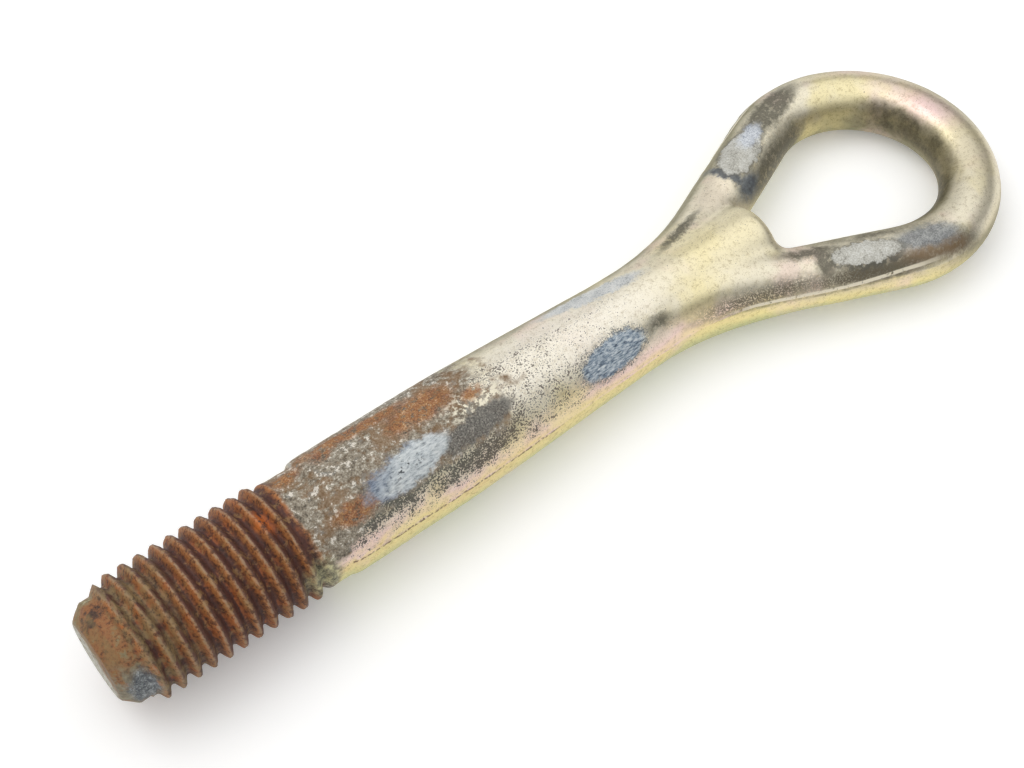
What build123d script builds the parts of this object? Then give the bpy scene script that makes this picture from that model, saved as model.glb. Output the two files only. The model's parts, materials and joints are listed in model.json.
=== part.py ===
"""Screw-in tow eye, forged in one piece: threaded stud, round shank and teardrop eye.

Millimetres, +Z up. X runs along the stud axis: the tip of the stud points to -X and the
eye lies towards +X, flat in the XY plane. The origin is on the stud axis where the full
thread ends, next to the neck. The stud is drawn at the outer diameter of its thread.
"""
import os
from math import cos, radians, sin, sqrt, tan

from build123d import *

os.makedirs("parts", exist_ok=True)

# Stud, from the end of the full thread towards the tip
thread_d = 15.6
thread_length = 20.6
point_d = 13.0
point_length = 1.6
tip_d = 10.4
tip_length = 1.6

# Neck and shoulder, from the end of the full thread towards the shank
neck_d = 14.2
neck_length = 3.0
shoulder_length = 0.7

# Shank, from the shoulder to its narrowest place, the waist
shank_d = 15.36
shank_length = 48.0
taper_length = 26.5
taper_round = 250.0
waist_d = 13.1
waist_length = 2.0
waist_round = 40.0

# Legs, which leave the shank side by side and bend outwards
leg_root = 4.0
leg_start = 2.8
leg_offset = 3.0
leg_cover = 0.3
leg_bend_r = 36.0
leg_taper = 4.0

# Crotch, where the shank runs on from its waist as a nose between the legs
nose_reach = 7.2
nose_height = 12.8
nose_bury = 1.0
nose_round = 1.6
crotch_fillet = 2.2

# Eye, whose centre line is two straight legs that meet an arc
bar_d = 8.2
leg_angle = 23.5
eye_r = 14.6

# Radii, and places along X that follow from those sizes
shank_r = shank_d / 2
waist_r = waist_d / 2
bar_r = bar_d / 2
lead_in = (thread_d - point_d) / 2
run_out = (thread_d - neck_d) / 2
point_x = -thread_length - lead_in
tip_x = point_x - point_length - tip_length
shoulder_x = run_out + neck_length
shank_x = shoulder_x + shoulder_length
waist_x = shoulder_x + shank_length
taper_end_x = waist_x - waist_length
taper_start_x = taper_end_x - taper_length

# The bend that takes each leg from the shank out to its straight run, and the eye beyond it
slope = radians(leg_angle)
bend_reach = leg_bend_r * tan(slope / 2)
bend_start_x = waist_x + leg_start
bend_mid_x = bend_start_x + leg_bend_r * sin(slope / 2)
bend_mid_y = leg_offset + leg_bend_r * (1 - cos(slope / 2))
bend_end_x = bend_start_x + leg_bend_r * sin(slope)
bend_end_y = leg_offset + leg_bend_r * (1 - cos(slope))
bar_x = bend_end_x + leg_taper * cos(slope)
bar_y = bend_end_y + leg_taper * sin(slope)
eye_x = bend_start_x + bend_reach - leg_offset / tan(slope) + eye_r / sin(slope)
arc_x = eye_x - eye_r * sin(slope)
arc_y = eye_r * cos(slope)

# The root of each leg stays under the skin of the waist
root_height = sqrt(waist_r**2 - leg_offset**2)
root_width = waist_r - leg_offset - leg_cover

# The nose ends past the point where the inner sides of the legs meet, and is buried in them
nose_x = eye_x - (eye_r - bar_r) / sin(slope) + nose_reach
nose_width = 2 * (nose_reach * tan(slope) + nose_bury + nose_round)


def station(x, y=0.0, angle=0.0):
    """A plane across the metal at (x, y), turned by angle, with its own x axis upright."""
    return Plane(origin=(x, y, 0), x_dir=(0, 0, 1), z_dir=(cos(angle), sin(angle), 0))


# One leg: it starts inside the shank, bends outwards and thins to the round bar
bend_mid_height = 0.65 * root_height + 0.4 * bar_r
bend_mid_width = 0.4 * waist_r + 0.28 * bar_r
leg_stations = [
    (waist_x - leg_root, leg_offset, 0, 0.89 * root_height, root_width),
    (bend_start_x, leg_offset, 0, 0.92 * root_height, root_width + leg_cover / 2),
    (bend_mid_x, bend_mid_y, slope / 2, bend_mid_height, bend_mid_width),
    (bend_end_x, bend_end_y, slope, 1.15 * bar_r, 0.98 * bar_r),
    (bar_x, bar_y, slope, bar_r, bar_r),
]
with BuildPart() as leg:
    for x, y, angle, half_height, half_width in leg_stations:
        with BuildSketch(station(x, y, angle)):
            Ellipse(half_height, half_width)
    loft()

# The straight run of both legs and the arc between them, swept as one round bar
with BuildPart() as bar:
    with BuildLine() as centre_line:
        Line((bar_x, bar_y), (arc_x, arc_y))
        CenterArc((eye_x, 0), eye_r, 90 + leg_angle, -(180 + 2 * leg_angle))
        Line((arc_x, -arc_y), (bar_x, -bar_y))
    with BuildSketch(station(bar_x, bar_y, slope)):
        Circle(bar_r)
    sweep(path=centre_line.wires()[0])

with BuildPart() as tow_eye:
    # The nose: the round waist runs on, flatter at the sides, to a blunt rounded end
    with BuildSketch(station(waist_x)):
        Circle(waist_r)
    with BuildSketch(station(nose_x)):
        Ellipse(nose_height / 2, nose_width / 2)
    loft()
    fillet(tow_eye.faces().sort_by(Axis.X)[-1].edges(), nose_round)

    # Stud, neck and shank, turned about the axis from the tip to the waist
    with BuildSketch(Plane.XZ):
        with BuildLine():
            Polyline(
                (waist_x, waist_r),
                (waist_x, 0),
                (tip_x, 0),
                (tip_x, tip_d / 2),
                (tip_x + tip_length, point_d / 2),
                (point_x, point_d / 2),
                (-thread_length, thread_d / 2),
                (0, thread_d / 2),
                (run_out, neck_d / 2),
                (shoulder_x, neck_d / 2),
                (shank_x, shank_r),
            )
            FilletPolyline(
                (shank_x, shank_r),
                (taper_start_x, shank_r),
                (taper_end_x, waist_r),
                (waist_x, waist_r),
                radius=(taper_round, waist_round),
            )
        make_face()
    revolve(axis=Axis.X)

    # Both legs join the shank, the joins are rounded, and the bar closes the eye
    add(leg.part)
    joins = tow_eye.edges(Select.NEW)
    mirror(leg.part, about=Plane.XZ)
    joins += tow_eye.edges(Select.NEW)
    fillet(joins, crotch_fillet)
    add(bar.part)

tow_eye.part.label = "tow_eye"
export_step(tow_eye.part, "parts/tow_eye.step")
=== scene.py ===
"""Looks of a screw-in tow eye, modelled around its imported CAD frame."""

import json
from math import atan2, cos, hypot, pi, radians, tan
from typing import NamedTuple

import bpy
from mathutils import Matrix, Vector, noise


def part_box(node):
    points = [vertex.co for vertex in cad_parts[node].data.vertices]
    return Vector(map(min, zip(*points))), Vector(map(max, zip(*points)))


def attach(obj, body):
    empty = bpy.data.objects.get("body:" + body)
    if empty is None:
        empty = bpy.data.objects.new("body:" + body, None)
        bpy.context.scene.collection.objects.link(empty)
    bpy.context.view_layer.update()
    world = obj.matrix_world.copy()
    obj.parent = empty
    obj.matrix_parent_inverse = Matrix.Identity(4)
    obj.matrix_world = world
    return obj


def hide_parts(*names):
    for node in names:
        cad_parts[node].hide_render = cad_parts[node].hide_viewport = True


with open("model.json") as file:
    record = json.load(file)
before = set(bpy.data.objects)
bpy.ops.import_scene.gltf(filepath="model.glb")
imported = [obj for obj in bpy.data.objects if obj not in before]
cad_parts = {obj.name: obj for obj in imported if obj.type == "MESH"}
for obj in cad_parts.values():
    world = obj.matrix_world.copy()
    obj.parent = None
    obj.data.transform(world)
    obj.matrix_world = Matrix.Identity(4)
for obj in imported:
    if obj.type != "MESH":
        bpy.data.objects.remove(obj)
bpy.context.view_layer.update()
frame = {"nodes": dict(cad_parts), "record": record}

bl_info = {
    "name": "Tow Eye",
    "version": (1, 0, 0),
    "blender": (4, 5, 0),
    "location": "View3D > Sidebar > Tow Eye",
    "description": "Models a worn, plated tow eye with a rusty threaded stud",
    "category": "Object",
}

MM = 0.001
NODE = "tow_eye"
BODY = "root"
MOUNTS = {mount["name"]: mount for mount in frame["record"]["mounts"]}
STUD_R = MOUNTS["stud"]["dims"]["r_mm"] * MM
TIP_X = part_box(NODE)[0].x
LEG_ANGLE = 23.5
EYE_CENTRE = tuple(value / MM for value in MOUNTS["eye"]["pos_m"])

# Thread: sides of its mesh, angle of its flanks, and where roots and crests run out at the neck
STUD_SIDES = 180
FLANK_ANGLE = radians(30)
CREST_WEAR = 0.03 * MM
ROOT_RUN_OUT = (-1.2 * MM, 0.7 * MM)
CREST_RUN_OUT = (-1.6 * MM, 1.3 * MM)

# Parting line: where along X it begins, climbs from the shank to the legs, and fades on the eye
SEAM_STARTS = (5 * MM, 7 * MM)
SEAM_CLIMBS = (54 * MM, 68 * MM)
SEAM_FADES = (86 * MM, 97 * MM)
SEAM_STEEPEST = 0.75

# Stage: the floor touches the lower side of shank and eye, the sky brightens between two heights,
# and the camera looks down on the near side
FLOOR_PLACE = (22.0 * MM, 0, -7.70 * MM)
FLOOR_TILT = radians(-2.42)
FLOOR_SIZE = 6
SKY_HAZE = 0.42
SKY_CLEAR = 0.7
LAMP_SIZE = 0.5
LAMP_PLACE = (-0.15, 0.25, 0.6)
LAMP_AIM = (0.04, 0, 0)
CAMERA_PLACE = (-41.53 * MM, -95.33 * MM, 167.52 * MM)
CAMERA_TURN = (radians(36.24), radians(0.10), radians(-37.98))


def tone(red, green, blue):
    """A colour given as a screen shows it, from 0 to 255, in Blender's linear values."""
    parts = [value / 255 for value in (red, green, blue)]
    return [p / 12.92 if p <= 0.04045 else ((p + 0.055) / 1.055) ** 2.4 for p in parts]


def length_prop(label, text, default):
    """A length in metres, for the panel."""
    return bpy.props.FloatProperty(
        name=label, description=text, default=default, precision=5, unit="LENGTH"
    )


def colour_prop(label, text, default):
    """A colour, for the panel."""
    return bpy.props.FloatVectorProperty(
        name=label, description=text, default=default, size=3, min=0, max=1, subtype="COLOR"
    )


class TowEyeStud(bpy.types.PropertyGroup):
    """Sizes of the threaded stud, whose outer radius comes from the frame."""

    pitch: length_prop("Pitch", "Distance from one thread crest to the next", 2.0 * MM)
    depth: length_prop("Depth", "Height of the thread from root to crest", 1.08 * MM)
    crest: length_prop("Crest", "Width of the worn flat on each crest", 0.34 * MM)
    first_crest: length_prop("First crest", "Where the helix crosses the +Y side", -19.71 * MM)
    tip_r: length_prop("Tip radius", "Radius of the flat end", 5.2 * MM)
    point_r: length_prop("Point radius", "Radius of the plain point", 6.5 * MM)
    tip_length: length_prop("Tip length", "Length of the bevelled tip", 1.6 * MM)
    lead_in: length_prop("Lead-in", "Where the thread starts to rise from the point", -22.15 * MM)
    neck_r: length_prop("Neck radius", "Radius of the neck behind the thread", 7.1 * MM)
    thread_end: length_prop("Thread end", "Where the last trace of the thread ends", 2.4 * MM)
    shoulder_x: length_prop("Shoulder", "Where the shank begins", 4.0 * MM)


class TowEyeForging(bpy.types.PropertyGroup):
    """Sizes of the forged shank and eye that the frame doesn't give."""

    voxel: length_prop("Mesh size", "Size of the faces on the shank and the eye", 0.38 * MM)
    seam_rise: length_prop("Seam height", "Height of the parting line left by the dies", 0.1 * MM)
    seam_width: length_prop("Seam width", "Half the width of the parting line", 0.3 * MM)
    seam_low: length_prop("Seam on shank", "Height of the parting line on the shank", 0.45 * MM)
    seam_high: length_prop("Seam on legs", "Height of the parting line on the legs", 1.35 * MM)


class TowEyeFinish(bpy.types.PropertyGroup):
    """Main colours of the plating and the rust."""

    cream: colour_prop("Cream", "Zinc plate on top", tone(243, 235, 212))
    yellow: colour_prop("Yellow", "Zinc plate low on the near side", tone(240, 226, 165))
    # Olive is painted shade: it is laid on the sides facing away and on the outer sides of the loop
    olive: colour_prop("Olive", "Zinc plate on the far side", tone(158, 152, 124))
    pink: colour_prop("Pink", "Pink tinge of the plate", tone(240, 214, 205))
    green: colour_prop("Green", "Green tinge of the plate", tone(214, 216, 160))
    bare: colour_prop("Bare", "Grey-brown metal where the plate has gone", tone(154, 144, 127))
    scuff: colour_prop("Scuff", "Pale scuffed zinc", tone(190, 197, 200))
    amber: colour_prop("Amber", "Orange tinge above the yellow", tone(238, 216, 162))
    rust: colour_prop("Rust", "Rust on the shank", tone(165, 112, 60))
    thread: colour_prop("Thread", "Rust on the thread's flanks", tone(162, 102, 54))


class TowEyeStage(bpy.types.PropertyGroup):
    """Camera, floor and light."""

    lens: bpy.props.FloatProperty(
        name="Lens", description="Focal length of the camera", default=59.7, unit="CAMERA"
    )
    floor: colour_prop("Floor", "Colour of the floor", (0.95, 0.95, 0.945))
    glow: bpy.props.FloatProperty(
        name="Floor glow", description="White that the camera sees on top of the lit floor",
        default=0.18, min=0, max=1, subtype="FACTOR",
    )
    sky: bpy.props.FloatProperty(
        name="Sky", description="Strength of the soft light from all round", default=1.1, min=0
    )
    horizon: bpy.props.FloatProperty(
        name="Horizon", description="Light at the horizon, as a share of the light above",
        default=0.14, min=0, max=1, subtype="FACTOR",
    )
    key: bpy.props.FloatProperty(
        name="Key", description="Power of the soft lamp", default=0.9, min=0, unit="POWER"
    )


def settings():
    """The four groups of settings, as the scene holds them."""
    scene = bpy.context.scene
    return scene.tow_eye_stud, scene.tow_eye_forging, scene.tow_eye_finish, scene.tow_eye_stage


def pick(piece):
    """Make one object the only selected and active one."""
    bpy.ops.object.select_all(action="DESELECT")
    piece.select_set(True)
    bpy.context.view_layer.objects.active = piece


def edit(piece, mode="VERT"):
    """Open one object's mesh with all of it selected."""
    pick(piece)
    bpy.ops.object.mode_set(mode="EDIT")
    bpy.ops.mesh.select_mode(type=mode)
    bpy.ops.mesh.select_all(action="SELECT")


def done():
    """Leave edit mode."""
    bpy.ops.object.mode_set(mode="OBJECT")


def edit_only(piece, mode, parts, wanted):
    """Open one object's mesh with only the wanted edges or faces selected."""
    edit(piece, mode)
    bpy.ops.mesh.select_all(action="DESELECT")
    done()
    for part in parts:
        part.select = wanted(part)
    bpy.ops.object.mode_set(mode="EDIT")


def apply_modifier(piece, kind, **values):
    """Add a modifier, set it and apply it."""
    pick(piece)
    modifier = piece.modifiers.new(kind.lower(), kind)
    for name, value in values.items():
        setattr(modifier, name, value)
    bpy.ops.object.modifier_apply(modifier=modifier.name)


def with_normals(piece):
    """Each point of a mesh with its normal, read before any point moves."""
    points = piece.data.vertices
    return zip(points, [point.normal.copy() for point in points])


def ease(low, high, value):
    """A smooth step from 0 at low to 1 at high."""
    t = min(max((value - low) / (high - low), 0.0), 1.0)
    return t * t * (3 - 2 * t)


def turned_blank(name, stations, sides):
    """A closed turned solid: a disc extruded from station to station along X."""
    bpy.ops.object.select_all(action="DESELECT")
    x, radius = stations[0]
    bpy.ops.mesh.primitive_circle_add(
        vertices=sides, radius=radius, fill_type="NGON", location=(x, 0, 0), rotation=(0, pi / 2, 0)
    )
    blank = bpy.context.object
    blank.name = name
    bpy.ops.object.transform_apply(location=True, rotation=True, scale=True)
    edit(blank)
    for next_x, next_radius in stations[1:]:
        bpy.ops.mesh.extrude_region_move(TRANSFORM_OT_translate={"value": (next_x - x, 0, 0)})
        grow = next_radius / radius
        bpy.ops.transform.resize(value=(1, grow, grow), center_override=(next_x, 0, 0))
        x, radius = next_x, next_radius
    bpy.ops.mesh.select_all(action="SELECT")
    bpy.ops.mesh.normals_make_consistent(inside=False)
    done()
    return blank


def ring_cuts(piece, low, high, cuts):
    """Divide the lengthwise edges of a turned blank between two places on X."""
    points = piece.data.vertices

    def lengthwise(edge):
        a, b = (points[i].co.x for i in edge.vertices)
        return abs(a - b) > 1e-6 and min(a, b) > low - 1e-6 and max(a, b) < high + 1e-6

    edit_only(piece, "EDGE", piece.data.edges, lengthwise)
    bpy.ops.mesh.subdivide(number_cuts=cuts)
    done()


def underside(turn):
    """How far a turn about the axis faces down on the near side, from 0 to 1."""
    return ease(0.1, 0.9, cos(2 * pi * turn - radians(215)))


def thread_radius(stud, x, turn):
    """Radius of the threaded surface at x and at a turn from 0 to 1 about the axis."""
    low = underside(turn)
    neck_r = stud.neck_r + low * 0.3 * MM
    crest_r = STUD_R - CREST_WEAR
    root_r = crest_r - stud.depth
    phase = ((x - stud.first_crest) / stud.pitch - turn) % 1.0
    off_crest = min(phase, 1 - phase) * stud.pitch
    flank = stud.depth * tan(FLANK_ANGLE)
    rise = 1 - min(max((off_crest - stud.crest / 2) / flank, 0.0), 1.0)
    rise = 0.5 * rise + 0.5 * ease(0, 1, rise)
    late = low * 1.2 * MM
    root_now = root_r + (neck_r - root_r) * ease(*ROOT_RUN_OUT, x - late)
    height = (crest_r - root_now) * (1 - ease(*CREST_RUN_OUT, x - late))
    return min(root_now + rise * height, stud.point_r + max(x - stud.lead_in, 0.0))


class TOWEYE_OT_stud(bpy.types.Operator):
    """Turn the stud, chase its worn right-hand thread and pit it with rust"""

    bl_idname = "tow_eye.stud"
    bl_label = "Threaded Stud"

    def execute(self, context):
        stud = settings()[0]
        buried = stud.shoulder_x + 2 * MM
        bevel_end = TIP_X + stud.tip_length
        root_r = STUD_R - stud.depth
        soft = 0.12 * MM
        stations = [
            (TIP_X, stud.tip_r - 2 * soft),
            (TIP_X + soft, stud.tip_r),
            (bevel_end - soft, stud.point_r - soft),
            (bevel_end + soft, stud.point_r),
            (stud.lead_in, stud.point_r),
            (stud.thread_end, stud.neck_r),
            (buried, stud.neck_r),
        ]
        piece = turned_blank("threaded_stud", stations, STUD_SIDES)
        for low, high, cuts in (
            (stud.lead_in, stud.thread_end, 190),
            (TIP_X + soft, bevel_end - soft, 9),
            (bevel_end + soft, stud.lead_in, 8),
            (stud.thread_end, buried, 16),
        ):
            ring_cuts(piece, low, high, cuts)
        edit_only(piece, "FACE", piece.data.polygons, lambda face: face.normal.x < -0.99)
        for _ in range(6):
            bpy.ops.mesh.inset(thickness=0.75 * MM)
        done()
        for point in piece.data.vertices:
            x, y, z = point.co
            radius = hypot(y, z)
            if x > stud.shoulder_x + MM:
                continue
            # Rust pits the metal, and chips the crests
            here = point.co / MM
            pits = max(noise.noise(here * 0.55 + Vector((7, 3, 1))), 0)
            grit = noise.fractal(here * 1.1, 0.7, 2.0, 2)
            if radius < stud.tip_r - 3 * soft:
                point.co.x += (0.05 + 0.03 * grit + 0.08 * pits) * MM
                continue
            turn = atan2(z, y) / (2 * pi)
            aim = radius
            if x > stud.lead_in:
                aim = thread_radius(stud, x, turn)
                chips = ease(0.1, 0.55, noise.noise(here * 0.8 + Vector((1, 9, 4))))
                aim -= 0.3 * chips * max(aim - root_r - 0.5 * stud.depth, 0)
            aim += (0.05 * grit - 0.12 * pits - 0.06) * MM
            point.co.y *= aim / radius
            point.co.z *= aim / radius
        return {"FINISHED"}


def seam_height(forging, x):
    """Height of the parting line above the middle plane at x."""
    return forging.seam_low + (forging.seam_high - forging.seam_low) * ease(*SEAM_CLIMBS, x)


class TOWEYE_OT_shank_and_eye(bpy.types.Operator):
    """Take the shank and the eye from the frame, even out the mesh and raise the parting line"""

    bl_idname = "tow_eye.shank_and_eye"
    bl_label = "Shank and Eye"

    def execute(self, context):
        stud, forging = settings()[:2]
        piece = bpy.data.objects.new("shank_and_eye", frame["nodes"][NODE].data.copy())
        context.scene.collection.objects.link(piece)
        piece.data.materials.clear()
        edit(piece)
        bpy.ops.mesh.remove_doubles(threshold=0.002 * MM)
        bpy.ops.mesh.bisect(
            plane_co=(stud.shoulder_x, 0, 0), plane_no=(1, 0, 0), use_fill=True, clear_inner=True
        )
        done()
        apply_modifier(piece, "REMESH", mode="VOXEL", voxel_size=forging.voxel)
        apply_modifier(piece, "SMOOTH", factor=0.5, iterations=10)
        self.raise_seam(piece, forging)
        self.roughen(piece)
        return {"FINISHED"}

    def raise_seam(self, piece, forging):
        """Divide the faces along the parting line and lift a narrow, broken ridge."""
        half_strip = 2.5 * forging.seam_width

        def on_seam(face):
            x, y, z = face.center
            outer = face.normal.y * y > 0 and abs(face.normal.z) < SEAM_STEEPEST
            return outer and x < SEAM_FADES[1] and abs(z - seam_height(forging, x)) < half_strip

        edit_only(piece, "FACE", piece.data.polygons, on_seam)
        bpy.ops.mesh.subdivide(number_cuts=1)
        done()
        for point, normal in with_normals(piece):
            x, y, z = point.co
            off = abs(z - seam_height(forging, x)) / forging.seam_width
            if off > 1 or normal.y * y < 0 or abs(normal.z) > SEAM_STEEPEST:
                continue
            broken = 0.55 + 0.6 * noise.noise(Vector((x / MM * 0.8, y / MM * 0.2, 4.0)))
            ends = ease(*SEAM_STARTS, x) * (1 - ease(*SEAM_FADES, x))
            lift = forging.seam_rise * (1 - ease(0, 1, off)) * broken * ends
            point.co += normal * lift

    def roughen(self, piece):
        """Give the forged skin its slight waves, and pits next to the thread."""
        wave_mm, pit_mm = 0.03, 0.09
        for point, normal in with_normals(piece):
            here = point.co / MM
            waves = noise.fractal(here * 0.22, 0.9, 2.0, 3)
            pitted = 1 - ease(16, 34, here.x)
            pits = max(noise.noise(here * 0.9), 0) + 0.6 * max(noise.noise(here * 1.9), 0)
            sink = wave_mm * (1 + waves) + pit_mm * pitted * pits
            point.co -= normal * sink * MM


class Mark(NamedTuple):
    """A ragged oval mark: centre and half sizes in mm, turned by heading, roll and yaw in degrees."""

    centre: tuple
    reach: tuple
    roll: float = 0.0
    yaw: float = 0.0
    heading: float = 0.0
    soft: float = 0.15


# Pale scuffs, where the plate is rubbed to bare zinc
SHANK_SCUFF = Mark((15.0, -4.1, 6.5), (5.4, 2.0, 2.2), roll=32, yaw=8)
SCUFF_RIM = Mark((13.6, -4.0, 6.5), (5.6, 2.2, 2.3), roll=32, yaw=8, soft=0.2)
SCUFF_TAIL = Mark((10.6, -3.9, 6.5), (2.4, 1.0, 1.6), roll=32, yaw=22, soft=0.5)
SCUFF_DOTS = Mark((14.4, -4.0, 6.5), (2.4, 0.8, 1.5), roll=32, yaw=8, soft=0.6)
FAR_SCUFF = Mark((47.0, 2.9, 6.0), (7.5, 1.3, 2.0), roll=-26, yaw=-8.5, soft=0.25)
FAR_LEG_SCUFF = Mark((79.4, 10.9, 4.1), (4.6, 2.3, 2.4), heading=LEG_ANGLE, soft=0.08)
FAR_LEG_TOP = Mark((82.3, 12.2, 4.1), (2.4, 1.3, 2.0), heading=LEG_ANGLE, soft=0.4)
NEAR_LEG_SCUFF = Mark((80.2, -11.9, 4.0), (4.6, 1.6, 2.0), heading=-LEG_ANGLE, soft=0.08)
LEG_SCUFF_EDGES = (
    Mark((79.4, 10.9, 4.1), (5.1, 2.8, 2.6), heading=LEG_ANGLE, soft=0.12),
    Mark((80.2, -12.1, 4.0), (5.2, 2.1, 2.2), heading=-LEG_ANGLE, soft=0.12),
)

# Slate blue rubs
SLATE_SCUFF = Mark((44.3, -5.15, 4.4), (5.0, 2.1, 2.0), roll=50, yaw=3)
SLATE_RIM = Mark((44.3, -5.15, 4.4), (5.5, 2.6, 2.2), roll=50, yaw=3, soft=0.25)
NEAR_LEG_SLATE = Mark((88.2, -14.7, 4.0), (4.8, 1.6, 2.0), heading=-20, soft=0.4)
FAR_LEG_SLATE = (
    Mark((75.2, 8.8, 3.6), (0.9, 3.2, 2.5), heading=LEG_ANGLE, soft=0.4),
    Mark((76.9, 6.4, 2.8), (2.4, 1.4, 1.6), heading=LEG_ANGLE, soft=0.5),
)
GREY_PATCH = Mark((24.2, -4.2, 6.2), (5.6, 1.45, 2.0), roll=34, yaw=5, soft=0.2)

# Grease and dirt on the legs, the arc and the flare
STAINS = (
    Mark((87.4, 14.0, 4.0), (6.6, 2.0, 2.2), heading=17, soft=0.3),
    Mark((63.0, 4.5, 5.3), (4.6, 0.7, 1.5), heading=17, soft=0.5),
    Mark((82.5, 8.0, 1.4), (7.6, 1.7, 2.6), heading=24.5, soft=0.5),
    Mark((88.0, 10.5, 0.5), (5.0, 1.5, 2.6), heading=28, soft=0.6),
    Mark((81.5, -14.6, 2.6), (7.0, 1.3, 1.5), heading=-LEG_ANGLE, soft=0.5),
    Mark((91.5, -17.3, 2.4), (4.0, 1.4, 1.6), heading=-12, soft=0.7),
    Mark((75.0, -9.8, 4.0), (1.3, 2.4, 2.0), heading=-LEG_ANGLE, soft=0.5),
    Mark((74.2, -7.6, 3.6), (4.2, 1.0, 1.8), heading=-LEG_ANGLE, soft=0.5),
    Mark((83.5, -10.6, 2.8), (8.0, 0.9, 1.4), heading=-LEG_ANGLE, soft=0.7),
    Mark((51.8, -4.6, 4.6), (1.8, 0.8, 1.5), roll=45, soft=0.7),
)
BROWN_STAIN = Mark((88.6, -16.6, 3.0), (5.0, 1.3, 1.6), heading=-18, soft=0.5)
LEG_FILM = (
    Mark((65.5, -8.3, 2.4), (9.5, 1.3, 1.3), heading=-17, soft=0.7),
    Mark((77.5, -13.3, 2.4), (7.0, 1.2, 1.2), heading=-LEG_ANGLE, soft=0.7),
)

# Bands of dark specks on the near side of the shank
SPECK_BANDS = (
    Mark((11.5, -6.0, 4.7), (9.5, 1.1, 2.2), roll=52, yaw=4, soft=0.5),
    Mark((23.0, -6.4, 4.2), (6.0, 1.5, 2.2), roll=55, yaw=4, soft=0.6),
)
CREAM_BLOTCHES = Mark((26.0, -1.8, 7.2), (4.0, 1.8, 2.0), roll=14, soft=0.6)
PINK_STREAK = Mark((105.0, 1.6, 4.0), (2.0, 4.0, 2.0), heading=14, soft=0.8)
NOSE_YELLOW = Mark((66.0, -0.5, 6.0), (9.0, 3.6, 3.0), soft=0.9)
# Painted highlight: a near-white patch along the top of the shank
SHANK_TOP_HIGHLIGHT = Mark((38.0, -1.4, 7.0), (15.0, 4.6, 3.0), soft=0.5)
LEG_CREAM = Mark((71.6, 7.2, 4.6), (4.2, 2.1, 2.4), heading=20, soft=0.5)
LOOP_BEIGE = Mark((105.0, -4.0, 3.0), (5.0, 11.0, 5.0), heading=-14, soft=0.8)

RUST_PATCHES = (
    Mark((20.0, 1.4, 7.5), (4.4, 2.2, 2.0), roll=-9, soft=0.4),
    Mark((12.0, 4.0, 6.5), (8.0, 1.1, 2.0), roll=-31, yaw=-5, soft=0.5),
    Mark((6.8, -4.9, 5.8), (3.0, 1.3, 2.0), roll=41, soft=0.4),
    Mark((25.9, -0.8, 7.5), (1.3, 0.9, 1.5), soft=0.5),
    Mark((7.3, 3.2, 7.0), (1.5, 1.0, 1.5), roll=-25, soft=0.5),
    Mark((2.5, 3.5, 6.2), (2.2, 1.2, 1.5), roll=-30, soft=0.6),
    Mark((16.5, 0.6, 7.6), (1.6, 1.4, 1.5), soft=0.7),
)
ORANGE_SPOT = Mark((-2.7, -0.4, 7.2), (0.9, 1.6, 1.2), soft=0.7)
TIP_RUB = Mark((-22.5, -6.0, 0.6), (1.7, 2.2, 2.8), soft=0.3)
TIP_RUB_EDGE = Mark((-23.4, -5.2, 0.2), (2.6, 2.8, 3.8), soft=0.4)
LAST_TURN_PLATE = Mark((0.2, -7.2, 0.6), (2.2, 2.0, 2.7), soft=0.5)


def grey(level):
    """A grey of one level."""
    return (level, level, level)


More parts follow.
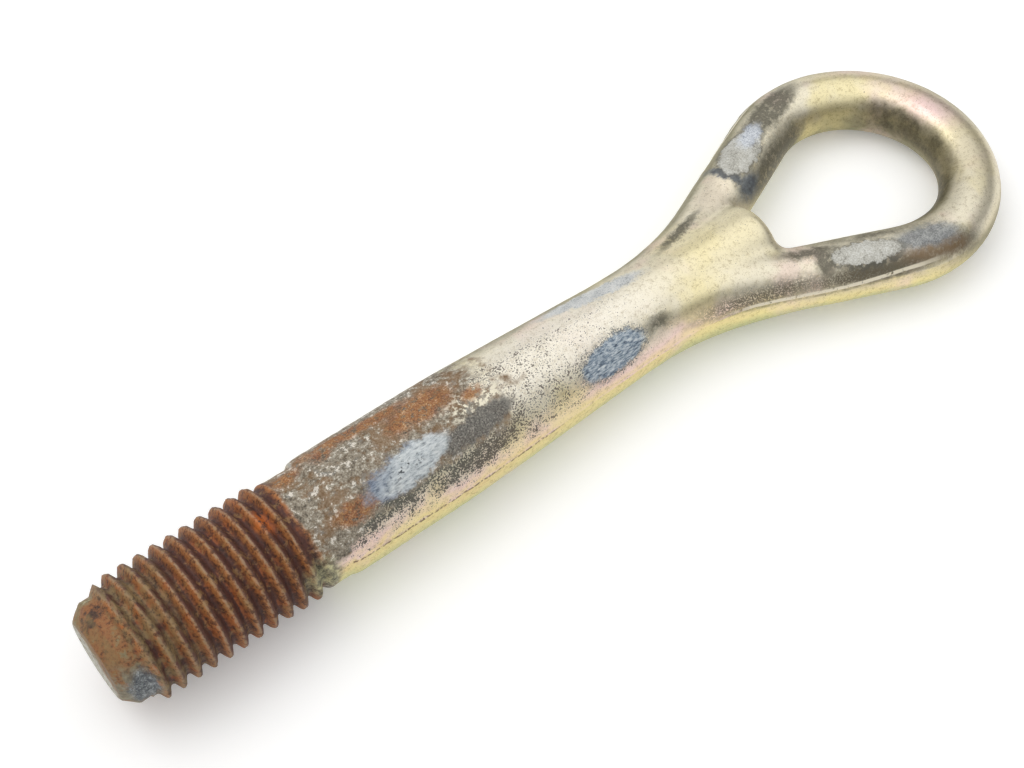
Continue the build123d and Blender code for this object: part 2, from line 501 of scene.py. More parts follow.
class Board:
    """Short ways to lay out one material's nodes, with places in millimetres."""

    def __init__(self, material):
        material.use_nodes = True
        self.tree = material.node_tree
        self.shader = self.tree.nodes["Principled BSDF"]
        place = self.node("ShaderNodeTexCoord")
        self.here = self.vector("SCALE", place.outputs["Object"], scale=1 / MM)
        self.x, self.y, self.z = self.parts(self.here)
        self.ahead, self.side, self.up = self.parts(place.outputs["Normal"])
        # Places pushed about a little, so that the edges of the marks are ragged
        fray = self.node("ShaderNodeTexNoise")
        self.join(self.here, fray.inputs["Vector"])
        self.join(0.9, fray.inputs["Scale"])
        self.join(6.0, fray.inputs["Detail"])
        self.join(0.75, fray.inputs["Roughness"])
        drift = self.vector("SUBTRACT", fray.outputs["Color"], (0.5, 0.5, 0.5))
        drift = self.vector("SCALE", drift, scale=2.6)
        self.frayed = self.vector("ADD", self.here, drift)
        self.fine = self.grain(0.2, 1, detail=2.0, rough=0.6)
        self.medium = self.grain(0.7, 4, detail=4.0, rough=0.65)
        self.clumps = self.grain(1.7, 2, detail=4.0, rough=0.6)
        self.coarse = self.grain(3.6, 9, detail=5.0)
        self.colour, self.metal, self.rough = (0, 0, 0), 0.0, 0.0

    def node(self, kind, **properties):
        """A new node with its properties set."""
        made = self.tree.nodes.new(kind)
        for name, value in properties.items():
            setattr(made, name, value)
        return made

    def join(self, value, socket):
        """Link an output to a socket, or set the socket's own value."""
        if isinstance(value, bpy.types.NodeSocket):
            self.tree.links.new(value, socket)
        elif socket.type == "RGBA":
            socket.default_value = (*value[:3], 1)
        else:
            socket.default_value = value

    def vector(self, operation, a, b=None, scale=None):
        """Arithmetic on vectors."""
        made = self.node("ShaderNodeVectorMath", operation=operation)
        self.join(a, made.inputs[0])
        if b is not None:
            self.join(b, made.inputs[1])
        if scale is not None:
            self.join(scale, made.inputs["Scale"])
        return made.outputs["Value" if operation == "LENGTH" else "Vector"]

    def parts(self, vector):
        """The three parts of a vector."""
        made = self.node("ShaderNodeSeparateXYZ")
        self.join(vector, made.inputs[0])
        return made.outputs

    def math(self, operation, a, b=0.0):
        """Arithmetic on numbers."""
        made = self.node("ShaderNodeMath", operation=operation)
        self.join(a, made.inputs[0])
        self.join(b, made.inputs[1])
        return made.outputs[0]

    def all_of(self, operation, *values):
        """One operation over several numbers, such as their product or the largest."""
        total = values[0]
        for value in values[1:]:
            total = self.math(operation, total, value)
        return total

    def times(self, *values):
        """The product of several numbers."""
        return self.all_of("MULTIPLY", *values)

    def sum(self, *values):
        """The sum of several numbers."""
        return self.all_of("ADD", *values)

    def minus(self, a, b):
        """The difference of two numbers."""
        return self.math("SUBTRACT", a, b)

    def swing(self, grain, size):
        """A noise moved to swing about 0, by up to about half of size each way."""
        return self.times(self.minus(grain, 0.5), size)

    def mingle(self, *grains):
        """Several noises added up about 0.5, each with its own size."""
        return self.sum(0.5, *(self.swing(grain, size) for grain, size in grains))

    def step(self, low, high, value):
        """A smooth step from 0 at low to 1 at high, which may be the smaller."""
        made = self.node("ShaderNodeMapRange", interpolation_type="SMOOTHSTEP")
        self.join(value, made.inputs["Value"])
        ends = (low, high, 0.0, 1.0) if low < high else (high, low, 1.0, 0.0)
        for name, end in zip(("From Min", "From Max", "To Min", "To Max"), ends):
            self.join(end, made.inputs[name])
        return made.outputs["Result"]

    def blend(self, share, a, b, blend_type="MIX"):
        """A mix of two colours."""
        made = self.node("ShaderNodeMix", data_type="RGBA", blend_type=blend_type)
        self.join(share, made.inputs[0])
        self.join(a, made.inputs[6])
        self.join(b, made.inputs[7])
        return made.outputs[2]

    def mix(self, share, a, b):
        """A mix of two numbers."""
        made = self.node("ShaderNodeMix", data_type="FLOAT")
        self.join(share, made.inputs[0])
        self.join(a, made.inputs[2])
        self.join(b, made.inputs[3])
        return made.outputs[0]

    def levels(self, value, *stops):
        """Numbers along a value, eased from each stop to the next."""
        place, level = stops[0]
        for next_place, next_level in stops[1:]:
            level = self.mix(self.step(place, next_place, value), level, next_level)
            place = next_place
        return level

    def ramp(self, value, *stops):
        """Colours along a number from 0 to 1."""
        made = self.node("ShaderNodeValToRGB")
        self.join(value, made.inputs[0])
        elements = made.color_ramp.elements
        while len(elements) < len(stops):
            elements.new(0.5)
        for element, (place, colour) in zip(elements, stops):
            element.position = place
            element.color = (*colour, 1)
        return made.outputs[0]

    def grain(self, size, shift=0.0, detail=3.0, rough=0.55, along=None, turn=0.0):
        """Noise with features of about size mm, drawn out on each axis after a turn about Z."""
        mapping = self.node("ShaderNodeMapping")
        mapping.inputs["Location"].default_value = (shift, 2 * shift, 3 * shift)
        mapping.inputs["Rotation"].default_value = (0, 0, radians(turn))
        if along:
            mapping.inputs["Scale"].default_value = [1 / a for a in along]
        self.join(self.here, mapping.inputs["Vector"])
        made = self.node("ShaderNodeTexNoise")
        self.join(mapping.outputs[0], made.inputs["Vector"])
        self.join(1 / size, made.inputs["Scale"])
        self.join(detail, made.inputs["Detail"])
        self.join(rough, made.inputs["Roughness"])
        return made.outputs[0]

    def mark(self, *marks):
        """Share of each point that ragged oval marks cover."""
        shares = []
        for mark in marks:
            turn = Matrix.Rotation(radians(mark.heading), 3, "Z")
            turn = turn @ Matrix.Rotation(radians(mark.roll), 3, "X")
            turn = turn @ Matrix.Rotation(radians(mark.yaw), 3, "Z")
            mapping = self.node("ShaderNodeMapping", vector_type="TEXTURE")
            mapping.inputs["Location"].default_value = mark.centre
            mapping.inputs["Rotation"].default_value = turn.to_euler("XYZ")
            mapping.inputs["Scale"].default_value = [2 * half for half in mark.reach]
            self.join(self.frayed, mapping.inputs["Vector"])
            ball = self.node("ShaderNodeTexGradient", gradient_type="SPHERICAL")
            self.join(mapping.outputs[0], ball.inputs[0])
            half_soft = mark.soft / 2
            shares.append(self.step(0.5 - half_soft, 0.5 + half_soft, ball.outputs[1]))
        return self.all_of("MAXIMUM", *shares)

    def cover(self, share, colour, metal, rough):
        """Lay a finish over what is there."""
        self.colour = self.blend(share, self.colour, colour)
        self.metal = self.mix(share, self.metal, metal)
        self.rough = self.mix(share, self.rough, rough)


def lay_plate(board, finish):
    """Yellow zinc plate: bands of tint round the bar, with drifting pink and yellow. The sides facing away
    and the outer sides of the loop are painted darker olive as painted shade, and a near-white patch along
    the top of the shank is a painted highlight.
    """
    height = board.sum(board.up, board.swing(board.grain(7.0, 11), 0.45))
    share = board.times(board.sum(height, 1.0), 0.5)
    near = board.ramp(
        share,
        (0.3, finish.green),
        (0.44, finish.yellow),
        (0.54, finish.amber),
        (0.64, finish.pink),
        (0.82, finish.cream),
    )
    near_eye = board.ramp(
        share,
        (0.3, finish.green),
        (0.46, finish.yellow),
        (0.62, tone(216, 202, 166)),
        (0.82, finish.cream),
    )
    near = board.blend(board.step(56.0, 68.0, board.x), near, near_eye)
    # Painted shade: the sides facing away turn olive, with plate tints below and cream on top
    far = board.ramp(
        share,
        (0.3, finish.green),
        (0.42, finish.yellow),
        (0.56, finish.olive),
        (0.84, finish.olive),
        (0.98, finish.cream),
    )
    away = board.sum(board.times(board.side, 0.85), board.times(board.ahead, 0.5))
    away = board.step(0.05, 0.4, away)
    colour = board.blend(away, near, far)
    # Painted shade: the loop's outer sides turn olive where they face down and out
    loop_rim = board.times(board.step(86.0, 98.0, board.x), board.step(0.55, 0.1, board.up))
    colour = board.blend(board.times(loop_rim, 0.85), colour, finish.olive)
    pink = board.step(0.54, 0.7, board.grain(9.0, 3))
    colour = board.blend(board.times(pink, 0.55), colour, finish.pink)
    yellow = board.times(board.step(0.5, 0.66, board.grain(10.0, 7)), board.mix(away, 0.6, 0.25))
    colour = board.blend(yellow, colour, finish.yellow)
    colour = board.blend(board.times(board.mark(NOSE_YELLOW), 0.7), colour, tone(250, 238, 194))
    # Painted highlight along the top of the shank
    colour = board.blend(board.times(board.mark(SHANK_TOP_HIGHLIGHT), 0.8), colour, tone(255, 249, 236))
    colour = board.blend(board.times(board.mark(LOOP_BEIGE), 0.6), colour, tone(214, 202, 170))
    colour = board.blend(board.times(board.mark(PINK_STREAK), 0.7), colour, tone(232, 198, 202))
    cloud = board.mingle((board.fine, 0.7), (board.medium, 0.8))
    shade = board.ramp(cloud, (0.3, (0.7, 0.67, 0.61)), (0.48, (0.97, 0.97, 0.96)), (0.6, (1, 1, 1)))
    board.colour = board.blend(1.0, colour, shade, "MULTIPLY")
    eye = board.step(38.0, 62.0, board.x)
    # The painted-shade areas are also made less metallic and rougher
    shade_and_dull = board.all_of("MAXIMUM", away, loop_rim)
    board.metal = board.mix(shade_and_dull, board.mix(eye, 0.75, 0.95), 0.35)
    board.rough = board.mix(shade_and_dull, board.mix(eye, 0.48, 0.38), 0.6)
    leg_cream = board.blend(1.0, tone(250, 238, 216), shade, "MULTIPLY")
    board.cover(board.mark(LEG_CREAM), leg_cream, 0.6, 0.45)


def lay_specks(board):
    """Dark specks, dense on the shank next to the thread and rare on the eye."""
    along = board.levels(board.x, (5.0, 0.5), (26.0, 0.55), (33.0, 0.46), (42.0, 0.3), (56.0, 0.0))
    ragged = board.swing(board.clumps, 0.5)
    lower = board.step(0.1, 0.42, board.sum(board.up, ragged))
    far_top = board.step(0.12, 0.32, board.sum(board.side, ragged))
    far_top = board.times(far_top, board.step(0.35, 0.6, board.sum(board.up, ragged)))
    around = board.times(lower, board.mix(far_top, 1.0, 0.15))
    clumped = board.sum(board.swing(board.clumps, 1.6), board.swing(board.coarse, 0.9))
    dense = board.sum(along, board.times(clumped, board.sum(along, 0.06)))
    bands = board.mark(*SPECK_BANDS)
    board.cover(board.times(bands, 0.4), tone(186, 181, 164), 0.4, 0.55)
    dense = board.sum(dense, board.times(bands, 0.34))
    edge = board.minus(0.72, board.times(dense, around, 0.36))
    grains = board.sum(board.fine, board.swing(board.medium, 0.5))
    specks = board.step(-0.02, 0.04, board.minus(grains, edge))
    tint = board.blend(board.step(34, 14, board.x), tone(80, 68, 58), tone(60, 62, 55))
    board.cover(board.times(specks, 0.88), tint, 0.1, 0.7)


def lay_bare_metal(board, finish):
    """Bare, mottled metal next to the thread, with cream remains of the plate."""
    ragged = board.sum(board.swing(board.coarse, 16.0), board.swing(board.clumps, 8.0))
    reach = board.step(29.5, 26.0, board.sum(board.x, ragged))
    lowest = board.mix(board.step(3.5, 7.5, board.x), 0.32, 0.64)
    lowest = board.mix(board.step(-0.2, 0.2, board.side), lowest, 0.42)
    height = board.minus(board.sum(board.up, board.times(ragged, 0.02)), lowest)
    bare = board.all_of("MAXIMUM", board.step(-0.05, 0.07, height), board.step(2.6, 1.4, board.x))
    bare = board.times(bare, reach)
    value = board.mingle((board.fine, 0.7), (board.medium, 1.0))
    mottle = board.ramp(
        value,
        (0.28, tone(84, 77, 66)),
        (0.42, tone(130, 120, 104)),
        (0.52, finish.bare),
        (0.62, tone(178, 170, 154)),
        (0.72, tone(222, 216, 204)),
    )
    brown = board.step(0.54, 0.4, board.sum(board.coarse, board.swing(board.medium, 0.4)))
    mottle = board.blend(board.times(brown, 0.55), mottle, tone(142, 106, 66))
    cool = board.step(0.54, 0.68, board.clumps)
    mottle = board.blend(board.times(cool, 0.6), mottle, tone(146, 147, 142))
    board.cover(bare, mottle, 0.15, 0.7)
    flecks = board.sum(board.medium, board.swing(board.fine, 0.4), board.swing(board.clumps, 0.7))
    flecks = board.times(board.step(0.62, 0.67, flecks), bare)
    board.cover(board.times(flecks, 0.85), tone(234, 226, 214), 0.2, 0.6)
    height = board.sum(board.up, board.swing(board.clumps, 0.4))
    rim = board.times(board.step(0.3, 0.42, height), board.step(0.66, 0.56, height))
    rim = board.times(rim, board.step(0.2, 0.5, board.side), reach)
    rim = board.times(rim, board.step(1.6, 3.2, board.x), board.step(0.36, 0.52, board.medium))
    board.cover(board.times(rim, 0.8), tone(190, 188, 178), 0.3, 0.6)
    blotches = board.times(board.mark(CREAM_BLOTCHES), board.step(0.5, 0.56, board.medium))
    board.cover(blotches, finish.cream, 0.5, 0.5)


def lay_rust(board, finish):
    """Patches of rust on the shank."""
    rust = board.times(board.mark(*RUST_PATCHES), board.step(0.34, 0.5, board.medium))
    tint = board.ramp(
        board.mingle((board.fine, 0.8), (board.clumps, 0.7)),
        (0.3, tone(92, 58, 40)),
        (0.44, tone(150, 92, 52)),
        (0.54, finish.rust),
        (0.64, tone(184, 134, 80)),
        (0.74, tone(214, 190, 156)),
    )
    board.cover(board.times(rust, 0.88), tint, 0.0, 0.8)


def lay_stains(board):
    """Dark grease and dirt on the eye, and the grey patch on the shank."""
    gate = board.mix(board.step(0.34, 0.5, board.medium), 0.6, 1.0)
    tint = board.ramp(
        board.mingle((board.medium, 0.7), (board.fine, 0.4)),
        (0.3, tone(52, 54, 46)),
        (0.55, tone(96, 92, 77)),
        (0.75, tone(146, 140, 120)),
    )
    board.cover(board.times(board.mark(*STAINS), gate, 0.9), tint, 0.3, 0.5)

    flat = board.vector("MULTIPLY", board.vector("SUBTRACT", board.here, EYE_CENTRE), (1.0, 1.0, 0.0))
    inside = board.sum(board.vector("LENGTH", flat), board.swing(board.clumps, 1.0))
    ring = board.times(board.step(12.6, 11.2, inside), board.step(-2.4, 0.4, board.z))
    ring = board.times(ring, board.mix(board.step(0.42, 0.56, board.coarse), 0.75, 1.0))
    rightward = board.minus(board.x, board.times(board.y, 0.5))
    ring = board.times(ring, board.levels(rightward, (87.0, 0.0), (93.0, 0.2), (98.5, 0.9)))
    board.cover(ring, board.blend(1.0, tint, tone(255, 244, 214), "MULTIPLY"), 0.3, 0.5)
    film = board.times(board.mark(*LEG_FILM), board.step(0.38, 0.5, board.fine))
    board.cover(board.times(film, 0.9), tone(106, 97, 78), 0.3, 0.55)
    board.cover(board.times(board.mark(BROWN_STAIN), gate, 0.85), tone(126, 102, 72), 0.3, 0.5)

    tint = board.ramp(
        board.fine, (0.32, tone(76, 76, 72)), (0.52, tone(116, 113, 107)), (0.7, tone(166, 162, 152))
    )
    board.cover(board.times(board.mark(GREY_PATCH), 0.92), tint, 0.2, 0.65)


def lay_scuffs(board, finish):
    """Rubs down to pale zinc and to slate blue, with fine strokes along them."""
    strokes = board.grain(0.24, 13, rough=0.65, along=(3.0, 1.0, 1.0))
    rim = board.times(board.mark(SLATE_RIM), board.step(0.44, 0.52, board.fine))
    board.cover(rim, tone(70, 74, 74), 0.2, 0.7)
    tint = board.ramp(
        strokes,
        (0.32, tone(64, 78, 98)),
        (0.44, tone(126, 144, 162)),
        (0.54, tone(178, 190, 200)),
        (0.68, tone(224, 230, 232)),
    )
    board.cover(board.times(board.mark(SLATE_SCUFF), 0.95), tint, 0.3, 0.6)
    tint = board.ramp(
        board.mingle((board.fine, 0.6), (board.medium, 0.6)),
        (0.3, tone(84, 90, 96)), (0.52, tone(134, 138, 140)), (0.72, tone(184, 186, 184)),
    )
    board.cover(board.times(board.mark(NEAR_LEG_SLATE), 0.9), tint, 0.4, 0.45)
    tint = board.ramp(board.medium, (0.34, tone(62, 70, 80)), (0.66, tone(116, 124, 132)))
    board.cover(board.times(board.mark(*FAR_LEG_SLATE), 0.92), tint, 0.3, 0.5)

    tint = board.ramp(strokes, (0.34, tone(90, 104, 124)), (0.6, tone(158, 168, 184)))
    rim = board.times(board.mark(SCUFF_RIM), board.step(0.4, 0.55, board.clumps))
    board.cover(rim, tint, 0.2, 0.65)
    tint = board.ramp(
        strokes, (0.3, tone(126, 134, 138)), (0.44, finish.scuff), (0.62, tone(222, 226, 226))
    )
    board.cover(board.times(board.mark(SHANK_SCUFF), 0.95), tint, 0.3, 0.6)
    tint = board.ramp(strokes, (0.36, tone(98, 110, 128)), (0.62, tone(164, 175, 188)))
    board.cover(board.times(board.mark(SCUFF_TAIL), 0.7), tint, 0.2, 0.65)
    dots = board.times(board.mark(SCUFF_DOTS), board.step(0.58, 0.66, board.grain(0.4, 21, detail=2.0)))
    board.cover(dots, tone(78, 82, 84), 0.2, 0.7)

    edges = board.times(board.mark(*LEG_SCUFF_EDGES), board.step(0.36, 0.5, board.medium))
    board.cover(board.times(edges, 0.8), tone(92, 90, 80), 0.3, 0.55)
    pale = board.mingle((board.fine, 0.7), (board.clumps, 0.5))
    tint = board.ramp(
        pale, (0.3, tone(134, 132, 124)), (0.46, tone(192, 190, 180)), (0.66, tone(222, 222, 216))
    )
    board.cover(board.times(board.mark(FAR_LEG_SCUFF, NEAR_LEG_SCUFF), 0.95), tint, 0.3, 0.55)
    tint = board.ramp(
        pale, (0.3, tone(140, 146, 150)), (0.48, tone(204, 207, 208)), (0.66, tone(230, 231, 228))
    )
    board.cover(board.times(board.mark(FAR_SCUFF), 0.92), tint, 0.2, 0.5)
    tint = board.ramp(pale, (0.34, tone(142, 152, 170)), (0.56, tone(222, 227, 234)))
    board.cover(board.times(board.mark(FAR_LEG_TOP), 0.8), tint, 0.2, 0.55)


def lay_seam(board, forging):
    """Dark dashes along the parting line on the shank, a painted shadow just under it on the near leg, and
    a painted highlight along it there.
    """
    outer = board.step(0.6, 0.8, board.times(board.side, board.math("SIGN", board.y)))
    wander = board.swing(board.clumps, 0.5)
    low = board.math("ABSOLUTE", board.sum(board.minus(board.z, forging.seam_low / MM), wander))
    dashes = board.step(0.44, 0.54, board.grain(0.4, 15, detail=4.0))
    line = board.times(board.step(0.22, 0.08, low), dashes, outer, board.step(37.0, 31.0, board.x))
    board.cover(board.times(line, 0.8), tone(112, 82, 64), 0.2, 0.7)

    on_leg = board.times(outer, board.step(60.0, 66.0, board.x), board.step(90.0, 84.0, board.x))
    rise = board.times(board.step(75.0, 87.0, board.x), 0.9)
    high = board.minus(board.minus(board.z, forging.seam_high / MM), rise)
    high = board.sum(high, board.times(wander, 0.4))
    # Painted shadow: a dark band just under the parting line on the near leg
    under = board.times(board.step(-0.75, -0.5, high), board.step(-0.16, -0.3, high), on_leg)
    under = board.times(under, board.step(0.4, 0.56, board.medium), 0.5)
    board.cover(under, tone(128, 118, 90), 0.2, 0.6)
    # Painted highlight: a pale line along the parting line on the near leg
    edge = board.times(board.step(0.28, 0.16, board.math("ABSOLUTE", high)), on_leg)
    edge = board.times(edge, board.step(0.32, 0.44, board.medium), 0.95)
    board.cover(edge, tone(246, 236, 212), 0.1, 0.5)


def lay_thread_rust(board, stud, finish):
    """Rust on the thread: dark at the roots and on the flanks towards the shank, partly as painted shade;
    orange on the flanks towards the tip, partly as painted light; pale worn crests with a painted
    highlight.
    """
    point = board.step(-21.6, -22.2, board.x)
    grit = board.sum(board.swing(board.grain(0.3, 17, detail=2.0), 1.2), board.swing(board.medium, 1.0))
    turn = board.times(board.math("ARCTAN2", board.z, board.y), 0.5 / pi)
    along = board.times(board.minus(board.x, stud.first_crest / MM), MM / stud.pitch)
    phase = board.math("FRACT", board.sum(board.minus(along, turn), board.times(grit, 0.16)))
    # Colour through each turn: dark rust at the root and on the flank towards the shank, partly painted
    # shade; orange on the flank towards the tip, partly painted light
    colour = board.ramp(
        phase,
        (0.0, tone(116, 76, 56)),
        (0.06, tone(98, 60, 47)),
        (0.5, tone(82, 48, 40)),
        (0.66, tone(112, 68, 45)),
        (0.76, finish.thread),
        (0.9, tone(182, 122, 72)),
        (1.0, tone(130, 88, 62)),
    )
    # More orange on the flanks facing the tip: rust, and partly painted light on the lit side
    orange = board.times(board.step(0.48, 0.62, board.coarse), board.step(0.2, -0.3, board.ahead))
    colour = board.blend(board.times(orange, 0.6), colour, tone(184, 104, 50))
    # Pale line along the crests: worn metal, and partly a painted highlight
    crest = board.step(0.1, 0.02, board.math("PINGPONG", board.sum(phase, 0.04), 0.5))
    crest = board.times(crest, board.step(0.42, 0.56, board.medium))
    colour = board.blend(board.times(crest, 0.7), colour, tone(172, 146, 118))
    clots = board.step(0.5, 0.36, board.sum(board.medium, board.times(grit, 0.15)))
    colour = board.blend(board.times(clots, 0.6), colour, tone(84, 54, 44))
    dust = board.step(0.53, 0.66, board.sum(board.clumps, board.times(grit, 0.2)))
    colour = board.blend(board.times(dust, 0.5), colour, tone(168, 132, 82))
    khaki = board.times(board.step(-12.0, -20.0, board.x), board.step(0.38, 0.56, board.clumps))
    colour = board.blend(board.times(khaki, 0.6), colour, tone(146, 128, 90))
    worn_point = board.ramp(
        board.mingle((board.medium, 0.9), (board.coarse, 1.2)),
        (0.26, tone(88, 64, 50)),
        (0.42, tone(154, 100, 60)),
        (0.58, tone(152, 114, 72)),
        (0.72, tone(138, 130, 98)),
        (0.84, tone(178, 164, 130)),
    )
    colour = board.blend(point, colour, worn_point)
    grain = board.sum(0.5, board.times(grit, 0.8))
    grain = board.ramp(grain, (0.3, grey(0.5)), (0.48, grey(0.95)), (0.7, grey(1.0)))
    colour = board.blend(1.0, colour, grain, "MULTIPLY")
    bevel = board.times(board.step(-23.3, -23.7, board.x), board.step(0.36, 0.56, board.clumps))
    colour = board.blend(board.times(bevel, 0.45), colour, tone(146, 124, 82))
    # The flat end: pale bare metal laid on its near-lower half only, where the paleness is partly painted
    # light
    rim = board.step(-24.7, -24.95, board.sum(board.x, board.times(grit, 0.2)))
    lower = board.minus(board.times(board.y, 0.47), board.times(board.z, 0.86))
    rim = board.times(rim, board.step(-1.5, 1.5, board.sum(lower, board.times(grit, 2.0))))
    pale_end = board.ramp(
        board.medium, (0.36, tone(134, 118, 92)), (0.46, tone(196, 194, 180)), (0.6, tone(222, 221, 211))
    )
    colour = board.blend(board.times(rim, 0.9), colour, pale_end)
    rusty = board.step(1.2, 0.2, board.sum(board.x, board.swing(board.coarse, 3.0)))
    board.cover(rusty, colour, 0.05, 0.66)
    spot = board.times(board.mark(ORANGE_SPOT), board.step(0.4, 0.55, board.medium))
    board.cover(board.times(spot, 0.85), tone(202, 108, 36), 0.0, 0.7)
    tint = board.ramp(board.medium, (0.34, tone(96, 92, 76)), (0.66, tone(152, 146, 124)))
    edge = board.times(board.mark(TIP_RUB_EDGE), board.step(0.3, 0.48, board.clumps), 0.85)
    board.cover(edge, tint, 0.2, 0.6)
    tint = board.ramp(
        board.mingle((board.fine, 0.7), (board.medium, 0.7)),
        (0.3, tone(56, 64, 76)), (0.5, tone(104, 110, 114)), (0.7, tone(176, 182, 184)),
    )
    board.cover(board.times(board.mark(TIP_RUB), 0.92), tint, 0.3, 0.6)
    tint = board.ramp(
        board.medium, (0.36, tone(76, 76, 60)), (0.5, tone(150, 148, 120)), (0.62, tone(206, 200, 152))
    )
    board.cover(board.times(board.mark(LAST_TURN_PLATE), 0.85), tint, 0.3, 0.6)


def worn_plate_and_rust(stud, forging, finish):
    """The whole finish: plate on the shank and eye, bare metal and rust towards the thread."""
    material = bpy.data.materials.new("worn_plate_and_rust")
    board = Board(material)
    lay_plate(board, finish)
    lay_specks(board)
    lay_bare_metal(board, finish)
    lay_rust(board, finish)
    lay_stains(board)
    lay_scuffs(board, finish)
    lay_seam(board, forging)
    lay_thread_rust(board, stud, finish)
    board.join(board.colour, board.shader.inputs["Base Color"])
    board.join(board.metal, board.shader.inputs["Metallic"])
    board.join(board.rough, board.shader.inputs["Roughness"])
    bump = board.node("ShaderNodeBump")
    board.join(0.8, bump.inputs["Strength"])
    board.join(0.1 * MM, bump.inputs["Distance"])
    worn = board.mix(board.step(32.0, 22.0, board.x), 0.2, 1.0)
    grit = board.times(board.medium, board.mix(board.step(1.5, 0.0, board.x), 0.4, 1.0))
    board.join(board.sum(board.times(board.fine, worn), grit), bump.inputs["Height"])
    board.join(bump.outputs[0], board.shader.inputs["Normal"])
    return material


class TOWEYE_OT_forging(bpy.types.Operator):
    """Join stud and shank into one forging and give it its finish"""

    bl_idname = "tow_eye.forging"
    bl_label = "One Forging"

    def execute(self, context):
        stud, forging, finish, _ = settings()
        piece = bpy.data.objects["shank_and_eye"]
        threaded = bpy.data.objects["threaded_stud"]
        apply_modifier(piece, "BOOLEAN", operation="UNION", solver="EXACT", object=threaded)
        bpy.data.objects.remove(threaded)
        low, high = stud.shoulder_x - 0.7 * MM, stud.shoulder_x + 1.2 * MM
        edit_only(piece, "VERT", piece.data.vertices, lambda point: low < point.co.x < high)
        bpy.ops.mesh.vertices_smooth(factor=0.5, repeat=8)
        done()
        piece.name = "forged_tow_eye"
        piece.data.name = "forged_tow_eye"
        pick(piece)
        bpy.ops.object.shade_smooth_by_angle(angle=radians(60))
        piece.data.materials.clear()
        piece.data.materials.append(worn_plate_and_rust(stud, forging, finish))
        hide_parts(NODE)
        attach(piece, BODY)
        return {"FINISHED"}


def pale_floor(stage):
    """A matt floor that keeps a soft shadow and looks white to the camera and in the metal."""
    material = bpy.data.materials.new("pale_floor")
    material.use_nodes = True
    nodes, links = material.node_tree.nodes, material.node_tree.links
    shader = nodes["Principled BSDF"]
    shader.inputs["Base Color"].default_value = (*stage.floor, 1)
    shader.inputs["Roughness"].default_value = 0.9
    shader.inputs["Specular IOR Level"].default_value = 0.1
    glow = nodes.new("ShaderNodeEmission")
    path = nodes.new("ShaderNodeLightPath")
    seen = path.outputs["Is Camera Ray"]
    for ray in ("Is Glossy Ray", "Is Transmission Ray"):
        either = nodes.new("ShaderNodeMath")
        either.operation = "MAXIMUM"
        links.new(seen, either.inputs[0])
        links.new(path.outputs[ray], either.inputs[1])
        seen = either.outputs[0]
    share = nodes.new("ShaderNodeMath")
    share.operation = "MULTIPLY"
    links.new(seen, share.inputs[0])
    share.inputs[1].default_value = stage.glow
    links.new(share.outputs[0], glow.inputs["Strength"])
    both = nodes.new("ShaderNodeAddShader")
    links.new(shader.outputs[0], both.inputs[0])
    links.new(glow.outputs[0], both.inputs[1])
    links.new(both.outputs[0], nodes["Material Output"].inputs["Surface"])
    return material


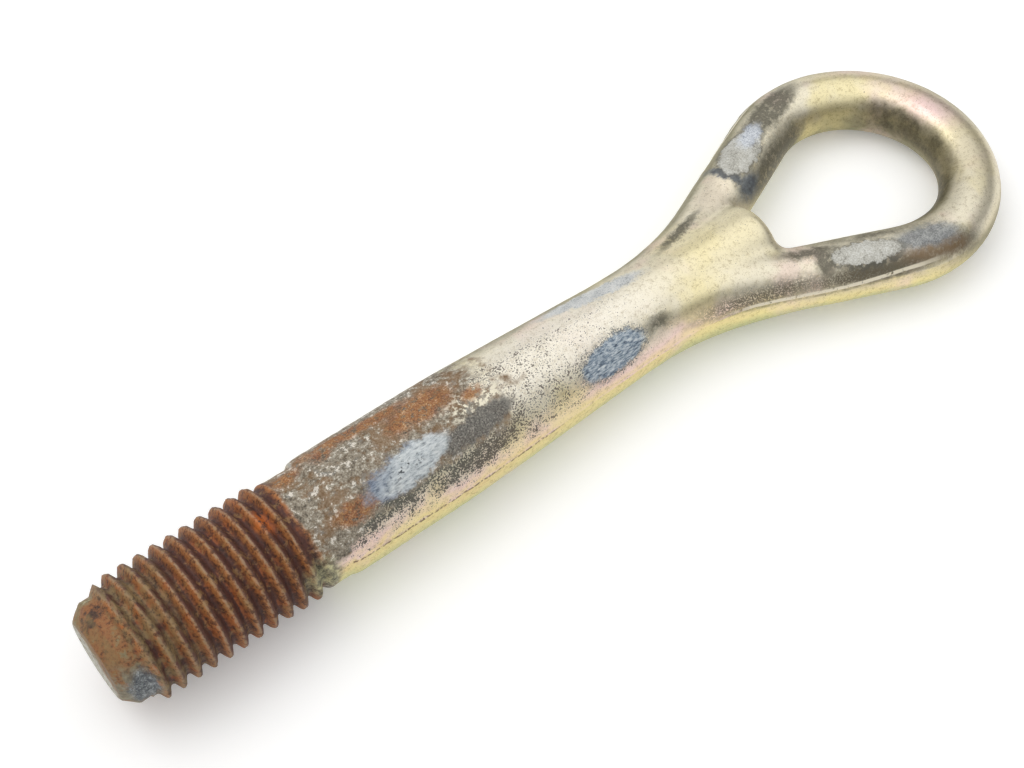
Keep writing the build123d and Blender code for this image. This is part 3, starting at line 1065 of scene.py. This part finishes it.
class TOWEYE_OT_stage(bpy.types.Operator):
    """Lay the floor, hang the lights and place the camera"""

    bl_idname = "tow_eye.stage"
    bl_label = "Stage"

    def execute(self, context):
        stage = settings()[3]
        bpy.ops.object.select_all(action="DESELECT")
        bpy.ops.mesh.primitive_plane_add(size=FLOOR_SIZE, location=FLOOR_PLACE, rotation=(0, FLOOR_TILT, 0))
        floor = context.object
        floor.name = "floor"
        floor.data.materials.append(pale_floor(stage))

        world = bpy.data.worlds.new("studio")
        context.scene.world = world
        world.use_nodes = True
        nodes, links = world.node_tree.nodes, world.node_tree.links
        place = nodes.new("ShaderNodeTexCoord")
        parts = nodes.new("ShaderNodeSeparateXYZ")
        ramp = nodes.new("ShaderNodeValToRGB")
        links.new(place.outputs["Generated"], parts.inputs[0])
        links.new(parts.outputs["Z"], ramp.inputs[0])
        elements = ramp.color_ramp.elements
        elements.new(SKY_HAZE).color = (*grey(1.5 * stage.horizon), 1)
        elements[0].color = (*grey(stage.horizon), 1)
        elements[2].position = SKY_CLEAR
        links.new(ramp.outputs[0], nodes["Background"].inputs["Color"])
        nodes["Background"].inputs["Strength"].default_value = stage.sky

        light = bpy.data.lights.new("key", "AREA")
        light.size = LAMP_SIZE
        light.energy = stage.key
        key = bpy.data.objects.new("key", light)
        key.location = LAMP_PLACE
        key.rotation_euler = (Vector(LAMP_AIM) - key.location).to_track_quat("-Z", "Y").to_euler()
        context.scene.collection.objects.link(key)

        lens = bpy.data.cameras.new("camera")
        lens.sensor_width = 36
        lens.lens = stage.lens
        lens.clip_start = 0.01
        camera = bpy.data.objects.new("camera", lens)
        camera.location = CAMERA_PLACE
        camera.rotation_euler = CAMERA_TURN
        context.scene.collection.objects.link(camera)
        context.scene.camera = camera
        context.scene.view_settings.view_transform = "Standard"
        return {"FINISHED"}


class TOWEYE_PT_panel(bpy.types.Panel):
    """Settings and steps of the tow eye"""

    bl_idname = "TOWEYE_PT_panel"
    bl_label = "Tow Eye"
    bl_space_type = "VIEW_3D"
    bl_region_type = "UI"
    bl_category = "Tow Eye"

    def draw(self, context):
        layout = self.layout
        for group in settings():
            for name in group.bl_rna.properties.keys():
                if name not in ("rna_type", "name"):
                    layout.prop(group, name)
        for step in STEPS:
            layout.operator(step.bl_idname)


GROUPS = {
    "tow_eye_stud": TowEyeStud,
    "tow_eye_forging": TowEyeForging,
    "tow_eye_finish": TowEyeFinish,
    "tow_eye_stage": TowEyeStage,
}
STEPS = (TOWEYE_OT_stud, TOWEYE_OT_shank_and_eye, TOWEYE_OT_forging, TOWEYE_OT_stage)


def register():
    for name, group in GROUPS.items():
        bpy.utils.register_class(group)
        setattr(bpy.types.Scene, name, bpy.props.PointerProperty(type=group))
    for step in STEPS:
        bpy.utils.register_class(step)
    bpy.utils.register_class(TOWEYE_PT_panel)


def unregister():
    bpy.utils.unregister_class(TOWEYE_PT_panel)
    for step in reversed(STEPS):
        bpy.utils.unregister_class(step)
    for name, group in reversed(GROUPS.items()):
        delattr(bpy.types.Scene, name)
        bpy.utils.unregister_class(group)


def main():
    register()
    bpy.ops.tow_eye.stud()
    bpy.ops.tow_eye.shank_and_eye()
    bpy.ops.tow_eye.forging()
    bpy.ops.tow_eye.stage()


if __name__ == "__main__":
    main()
